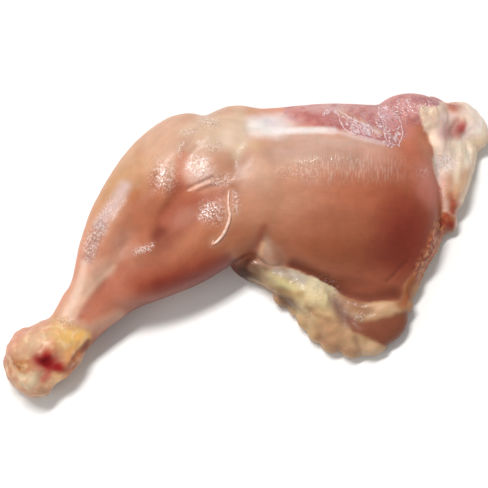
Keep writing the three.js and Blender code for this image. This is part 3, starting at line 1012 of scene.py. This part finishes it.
def set_attribute(piece, name, kind, values):
    attribute = piece.data.attributes.new(name, kind, "POINT")
    values = np.asarray(values, np.float32)
    if kind == "FLOAT_COLOR":
        values = np.concatenate([values, np.ones((len(values), 1), np.float32)], axis=1)
        attribute.data.foreach_set("color", values.ravel())
    elif kind == "FLOAT_VECTOR":
        attribute.data.foreach_set("vector", values.ravel())
    else:
        attribute.data.foreach_set("value", values)


def leg_meat():
    vertices, faces = surface_net()
    outward = slope_of(vertices, leg_distance)
    outward /= np.linalg.norm(outward, axis=1)[:, None] + NEARLY_NOTHING
    skin = Skin(vertices, outward)
    for work in (
        paint_muscles, paint_sides, paint_hip, paint_silverskin_and_painted_sheen, paint_knee,
        paint_fat, paint_flap, paint_knuckle, add_gloss, add_relief,
    ):
        work(skin)
    lifted = smooth(vertices[:, 2], 0, 3)
    vertices = softened(vertices, faces, skin.smoothness * lifted, SOFTENING_STEPS)
    piece = mesh_object("leg_meat", vertices + outward * (skin.relief * lifted)[:, None], faces)
    set_attribute(piece, "tint", "FLOAT_COLOR", skin.colour)
    for name in ("wet", "ripple", "rough", "comb", "film", "lace"):
        set_attribute(piece, name, "FLOAT", getattr(skin, name))
    set_attribute(piece, "grain", "FLOAT_VECTOR", grain_of(vertices))
    return piece


def surface_places(tree, places):
    """Points and normals of the leg where the photograph shows these places, in mm."""
    right, up, _ = camera_axes()
    eye = camera_place()
    found = []
    for across, above in places:
        target = np.array(VIEW_TARGET) + across * right + above * up
        ray = Vector(target - eye).normalized()
        hit, normal, _, _ = tree.ray_cast(Vector(eye * MM), ray)
        if hit is not None:
            found.append((np.array(hit) / MM, np.array(normal)))
    points, normals = (np.array(column) for column in zip(*found))
    return points, normals


def curve_through(points, steps):
    """A smooth curve through points, with the given number of steps from one to the next."""
    before = np.concatenate([2 * points[:1] - points[1:2], points, 2 * points[-1:] - points[-2:-1]])
    curve = []
    for a, b, c, d in zip(before, before[1:], before[2:], before[3:]):
        for t in np.arange(steps) / steps:
            squared, cubed = 2 * a - 5 * b + 4 * c - d, 3 * b - a - 3 * c + d
            curve.append(0.5 * (2 * b + (c - a) * t + squared * t**2 + cubed * t**3))
    return np.array(curve + [points[-1]])


def strand_mesh(tree, places, width, sunk, sides=6, steps=3, tip=0.25):
    """Vertices and faces of a strand that lies on the leg through these places.

    Sunk is the share of its width that lies in the leg, and tip the share that its ends have.
    """
    path = curve_through(np.array(places, float), steps)
    points, normals = surface_places(tree, path)
    share = np.linspace(0, 1, len(points))
    radius = width / 2 * (tip + (1 - tip) * np.sin(np.pi * np.clip(share, 0.02, 0.98)) ** 0.5)
    along = np.gradient(points, axis=0)
    along /= np.linalg.norm(along, axis=1)[:, None] + NEARLY_NOTHING
    across = np.cross(normals, along)
    across /= np.linalg.norm(across, axis=1)[:, None] + NEARLY_NOTHING
    up = np.cross(along, across)
    centre = points + up * (radius * (1 - 2 * sunk))[:, None]
    angle = np.arange(sides) * 2 * np.pi / sides
    ring = across[:, None] * np.cos(angle)[None, :, None] + up[:, None] * np.sin(angle)[None, :, None]
    vertices = (centre[:, None] + ring * radius[:, None, None]).reshape(-1, 3)
    vertices = np.concatenate([vertices, centre[:1], centre[-1:]])
    faces = []
    for i in range(len(points) - 1):
        for j in range(sides):
            after = (j + 1) % sides
            faces.append((i * sides + j, i * sides + after, (i + 1) * sides + after, (i + 1) * sides + j))
    last = (len(points) - 1) * sides
    for j in range(sides):
        after = (j + 1) % sides
        faces.append((len(vertices) - 2, after, j))
        faces.append((len(vertices) - 1, last + j, last + after))
    return vertices, faces


def strands_object(name, strands):
    """One mesh object of many strands."""
    mesh = bpy.data.meshes.new(name)
    all_vertices = []
    all_faces = []
    for vertices, faces in strands:
        start = len(all_vertices)
        all_vertices.extend(map(tuple, vertices * MM))
        all_faces.extend(tuple(start + corner for corner in face) for face in faces)
    mesh.from_pydata(all_vertices, [], all_faces)
    mesh.polygons.foreach_set("use_smooth", np.full(len(mesh.polygons), True))
    return placed(name, mesh)


def curled_sinew(tree):
    """The loose strand of sinew that hangs from the knee and ends in a small curl."""
    strand = strand_mesh(tree, CURLED_SINEW, 1.4, sunk=0.5, sides=8, steps=5)
    return strands_object("curled_sinew", [strand])


def bent_line(middle, half, inner, bend):
    """Stops of a short line, with its inner share pushed aside by a share of its half."""
    aside = bend * np.array([-half[1], half[0]])
    return [middle - half, middle - inner * half + aside, middle + inner * half + aside, middle + half]


def membrane_threads(tree):
    """The lacy threads of membrane over the raw muscle: long ones round it and short ones in it."""
    random = np.random.default_rng(7)
    threads = []
    for places in (
        [(31.2, 51.6), (32.8, 53.2), (35.6, 53.6), (37.6, 52.8), (38.4, 50.4), (40, 46.8), (43, 44.4)],
        [(37.2, 53.6), (44, 49.8), (50.4, 46.4), (55.6, 42.8)],
        [(40.4, 50.6), (44.8, 47.2), (48.8, 44.4), (52.6, 42.2)],
        [(54, 55.4), (59.6, 53), (62.4, 49.2)],
        [(62.2, 49.6), (63.6, 46), (63.2, 42.4), (61.6, 39.4)],
        [(53.6, 54.6), (55, 50.4), (56.4, 46), (56.8, 42.4), (59, 39.4)],
        [(39, 46), (44, 44), (49.4, 42.4), (55, 41)],
    ):
        stops = curve_through(np.array(places, float), 3)
        stops += random.normal(0, 0.22, stops.shape)
        threads.append(strand_mesh(tree, stops, 0.5, sunk=0.6))
    for place, spread, turn, wander, longest, count in (
        ((47, 46), (4, 1.8), -52, 18, 3.6, 46),
        ((42, 49), (4, 2), -35, 30, 2.4, 14),
        ((59, 43), (3.4, 4), 0, 90, 1.8, 46),
        ((57.4, 52.6), (3.6, 2.4), -20, 50, 2.6, 30),
        ((55, 47.4), (2, 2), -60, 40, 2.4, 14),
        ((34.4, 52.6), (3, 1.2), 10, 50, 1.8, 12),
        ((68, 56), (7, 1.8), -10, 50, 1.6, 26),
    ):
        for _ in range(count):
            middle = np.array(place) + random.uniform(-1, 1, 2) * spread
            half = direction(random.normal(turn, wander)) * random.uniform(0.4, 1) * longest / 2
            stops = bent_line(middle, half, 1 / 3, random.uniform(-0.7, 0.7))
            threads.append(strand_mesh(tree, stops, random.uniform(0.4, 0.7), sunk=0.6))
    return strands_object("membrane_threads", threads)


def torn_flecks(tree):
    """Small torn ends of fascia and sinew that catch the light."""
    random = np.random.default_rng(11)
    flecks = []
    for place, spread, count in (
        ((-22, 45), (4, 1.5), 7),
        ((-13, 48), (4, 2), 7),
        ((-12, 39), (3, 2), 5),
        ((-25, 38), (1, 4), 5),
        ((-40, -3), (4, 2), 9),
        ((47, -29), (2, 1.5), 5),
        ((-72, -30), (2, 2), 4),
    ):
        for _ in range(count):
            middle = np.array(place) + random.uniform(-1, 1, 2) * spread
            half = direction(random.uniform(0, 180)) * random.uniform(0.4, 1.1)
            stops = bent_line(middle, half, 0.3, random.uniform(-0.4, 0.4))
            flecks.append(strand_mesh(tree, stops, random.uniform(0.2, 0.4), sunk=0.5))
    return strands_object("torn_flecks", flecks)


def grain_of(points):
    """Each point in mm along the fibres, across them and up."""
    share = smooth(points[:, 0], -32, -2)
    along_shin, across_shin = direction(SHIN_HEADING), direction(SHIN_HEADING + 90)
    along = (1 - share) * (points[:, :2] @ along_shin) + share * points[:, 0]
    across = (1 - share) * (points[:, :2] @ across_shin) + share * points[:, 1]
    return np.stack([along, across, points[:, 2]], -1)


# ---------------------------------------------------------------- materials


def new_material(name, numbers):
    """A material, its node tree and its shader, with the shader's constant numbers set."""
    material = bpy.data.materials.new(name)
    material.use_nodes = True
    tree = material.node_tree
    shader = tree.nodes["Principled BSDF"]
    for socket, number in numbers.items():
        shader.inputs[socket].default_value = number
    return material, tree, shader


def attribute(tree, name, output="Fac"):
    node = tree.nodes.new("ShaderNodeAttribute")
    node.attribute_name = name
    return node.outputs[output]


def scaled(tree, vector, scale):
    node = tree.nodes.new("ShaderNodeVectorMath")
    node.operation = "MULTIPLY"
    node.inputs[1].default_value = scale
    tree.links.new(vector, node.inputs[0])
    return node.outputs[0]


def calculated(tree, operation, *values):
    node = tree.nodes.new("ShaderNodeMath")
    node.operation = operation
    for socket, value in zip(node.inputs, values):
        if isinstance(value, (int, float)):
            socket.default_value = value
        else:
            tree.links.new(value, socket)
    return node.outputs[0]


def times(tree, value, other):
    return calculated(tree, "MULTIPLY", value, other)


def millimetres(tree):
    """The place on the piece in mm."""
    return scaled(tree, tree.nodes.new("ShaderNodeTexCoord").outputs["Object"], (1 / MM, 1 / MM, 1 / MM))


def noise_height(tree, vector, scale, detail=2.0, distortion=0.0):
    node = tree.nodes.new("ShaderNodeTexNoise")
    node.inputs["Scale"].default_value = scale
    node.inputs["Detail"].default_value = detail
    node.inputs["Distortion"].default_value = distortion
    tree.links.new(vector, node.inputs["Vector"])
    return node.outputs["Fac"]


def bumped(tree, height, distance, below=None):
    node = tree.nodes.new("ShaderNodeBump")
    node.inputs["Distance"].default_value = distance
    tree.links.new(height, node.inputs["Height"])
    if below is not None:
        tree.links.new(below, node.inputs["Normal"])
    return node.outputs["Normal"]


def stepped(tree, value, start, end, low=0.0, high=1.0):
    """A value that rises smoothly from low to high while another goes from start to end."""
    node = tree.nodes.new("ShaderNodeMapRange")
    node.interpolation_type = "SMOOTHSTEP"
    for name, number in (("From Min", start), ("From Max", end), ("To Min", low), ("To Max", high)):
        node.inputs[name].default_value = number
    tree.links.new(value, node.inputs["Value"])
    return node.outputs["Result"]


def mixed(tree, share, colour, other):
    """A colour that turns to another, which is given in everyday values, by a share."""
    node = tree.nodes.new("ShaderNodeMix")
    node.data_type = "RGBA"
    tree.links.new(share, node.inputs["Factor"])
    tree.links.new(colour, node.inputs["A"])
    node.inputs["B"].default_value = (*linear(other), 1)
    return node.outputs["Result"]


def turned(tree, vector, degrees, scale):
    """The vector turned about the third axis and then scaled."""
    node = tree.nodes.new("ShaderNodeMapping")
    node.vector_type = "TEXTURE"
    node.inputs["Rotation"].default_value = (0, 0, math.radians(degrees))
    tree.links.new(vector, node.inputs["Vector"])
    return scaled(tree, node.outputs[0], scale)


def from_middle(tree, value):
    """How far a noise value is from its middle."""
    return calculated(tree, "ABSOLUTE", calculated(tree, "SUBTRACT", value, 0.5))


def wet_meat():
    numbers = {
        "Specular IOR Level": 0.25,
        "Coat Roughness": 0.1,
        "Subsurface Weight": 0.35,
        "Subsurface Radius": (1.0, 0.35, 0.2),
        "Subsurface Scale": 3 * MM,
    }
    material, tree, skin = new_material("wet_meat", numbers)
    grain = attribute(tree, "grain", "Vector")
    fibres = noise_height(tree, scaled(tree, grain, (0.07, 1.1, 0.9)), 1)
    crumbs = noise_height(tree, millimetres(tree), 1.15, detail=1.5, distortion=0.5)
    ridges = noise_height(tree, scaled(tree, grain, (1.6, 0.28, 0.28)), 1, detail=1.5, distortion=0.5)
    mottle = noise_height(tree, grain, 0.25, detail=4)
    # Painted highlights: pale grains with darker gaps between them where the surface glitters, and pale
    # streaks over the thigh's ridges.
    film = times(tree, stepped(tree, crumbs, 0.5, 0.62), attribute(tree, "film"))
    gaps = times(tree, stepped(tree, crumbs, 0.38, 0.46, 1, 0), attribute(tree, "film"))
    painted_streaks = times(tree, stepped(tree, ridges, 0.48, 0.62), attribute(tree, "comb"))
    slanted = turned(tree, grain, -50, (0.22, 0.6, 0.6))
    veins = from_middle(tree, noise_height(tree, slanted, 1, detail=2, distortion=1.2))
    lace = times(tree, stepped(tree, veins, 0.0, 0.035, 1, 0), attribute(tree, "lace"))

    shade = calculated(tree, "MULTIPLY_ADD", stepped(tree, fibres, 0.25, 0.75), 0.05, 0.975)
    shade = times(tree, shade, stepped(tree, mottle, 0.3, 0.7, 0.95, 1.05))
    shade = times(tree, shade, calculated(tree, "MULTIPLY_ADD", gaps, -0.22, 1))
    tint = tree.nodes.new("ShaderNodeVectorMath")
    tint.operation = "SCALE"
    tree.links.new(scaled(tree, attribute(tree, "tint", "Color"), (1.0, 1.0, 0.97)), tint.inputs[0])
    tree.links.new(shade, tint.inputs["Scale"])
    colour = tint.outputs[0]
    # The grains and the streaks are painted highlights; the lace is the membrane's own paleness.
    for share, strength, pale in (
        (film, 0.5, (242, 228, 224)),
        (painted_streaks, 0.18, (238, 212, 196)),
        (lace, 0.45, (236, 208, 208)),
    ):
        colour = mixed(tree, times(tree, share, strength), colour, pale)
    tree.links.new(colour, skin.inputs["Base Color"])

    normal = bumped(tree, fibres, 0.02 * MM)
    normal = bumped(tree, times(tree, crumbs, attribute(tree, "ripple")), 0.3 * MM, normal)
    normal = bumped(tree, times(tree, ridges, attribute(tree, "comb")), 0.3 * MM, normal)
    normal = bumped(tree, lace, 0.2 * MM, normal)
    tree.links.new(normal, skin.inputs["Normal"])
    tree.links.new(normal, skin.inputs["Coat Normal"])
    tree.links.new(attribute(tree, "wet"), skin.inputs["Coat Weight"])
    tree.links.new(attribute(tree, "rough"), skin.inputs["Roughness"])
    return material


def pale_sinew(name, dark, light):
    numbers = {
        "Roughness": 0.35,
        "Coat Weight": 0.3,
        "Coat Roughness": 0.12,
        "Subsurface Weight": 0.4,
        "Subsurface Radius": (1.0, 0.5, 0.35),
        "Subsurface Scale": MM,
    }
    material, tree, skin = new_material(name, numbers)
    place = millimetres(tree)
    mottle = noise_height(tree, place, 0.6)
    strings = noise_height(tree, place, 2.5, detail=1)
    pale = tree.nodes.new("ShaderNodeRGB")
    pale.outputs[0].default_value = (*linear(dark), 1)
    colour = mixed(tree, stepped(tree, mottle, 0.35, 0.65), pale.outputs[0], light)
    tree.links.new(colour, skin.inputs["Base Color"])
    tree.links.new(bumped(tree, strings, 0.1 * MM), skin.inputs["Normal"])
    return material


def pale_floor():
    colour = (*linear((246, 245, 243)), 1)
    return new_material("pale_floor", {"Base Color": colour, "Roughness": 0.9})[0]


# ---------------------------------------------------------------- the studio


def floor():
    corners = np.array([(-FLOOR, -FLOOR, 0), (FLOOR, -FLOOR, 0), (FLOOR, FLOOR, 0), (-FLOOR, FLOOR, 0)])
    piece = mesh_object("floor", corners, np.array([[0, 1, 2, 3]]), smooth_faces=False)
    piece.data.materials.append(pale_floor())


def aimed(thing, target):
    """Turns a lamp or camera so that it looks at a point in metres."""
    way = Vector(target) - thing.location
    thing.rotation_euler = way.to_track_quat("-Z", "Y").to_euler()


def lamp(name, place, size, power):
    """A softbox of the given width and height in metres."""
    data = bpy.data.lights.new(name, "AREA")
    data.shape = "RECTANGLE"
    data.size, data.size_y = size
    data.energy = power
    light = placed(name, data)
    light.location = place
    aimed(light, (0, 0, 0.01))


def studio():
    lamp("key", (-0.26, 0.38, 1.05), (0.5, 0.16), 11.8)
    lamp("fill", (-1.0, -0.4, 0.6), (0.8, 0.8), 3)
    world = bpy.data.worlds.new("studio")
    bpy.context.scene.world = world
    world.use_nodes = True
    background = world.node_tree.nodes["Background"]
    background.inputs["Color"].default_value = (1, 1, 1, 1)
    background.inputs["Strength"].default_value = 0.38


def camera():
    data = bpy.data.cameras.new("camera")
    data.sensor_width = SENSOR
    data.lens = SENSOR * FOCAL_PIXELS / PICTURE
    data.clip_start = 0.01
    eye = placed("camera", data)
    eye.location = camera_place() * MM
    aimed(eye, np.array(VIEW_TARGET) * MM)
    bpy.context.scene.camera = eye


# ---------------------------------------------------------------- the whole


def main():
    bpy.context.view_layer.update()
    camera()
    studio()
    floor()
    meat = leg_meat()
    meat.data.materials.append(wet_meat())
    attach(meat, "root")
    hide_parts("chicken_leg")
    tree = BVHTree.FromPolygons(
        [vertex.co for vertex in meat.data.vertices], [face.vertices for face in meat.data.polygons]
    )
    sinew = pale_sinew("pale_sinew", (214, 158, 130), (226, 192, 174))
    membrane = pale_sinew("pale_membrane", (212, 156, 156), (234, 200, 200))
    for build, material in ((curled_sinew, sinew), (membrane_threads, membrane), (torn_flecks, sinew)):
        piece = build(tree)
        piece.data.materials.append(material)
        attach(piece, "root")
    bpy.context.scene.view_settings.view_transform = "Standard"


main()
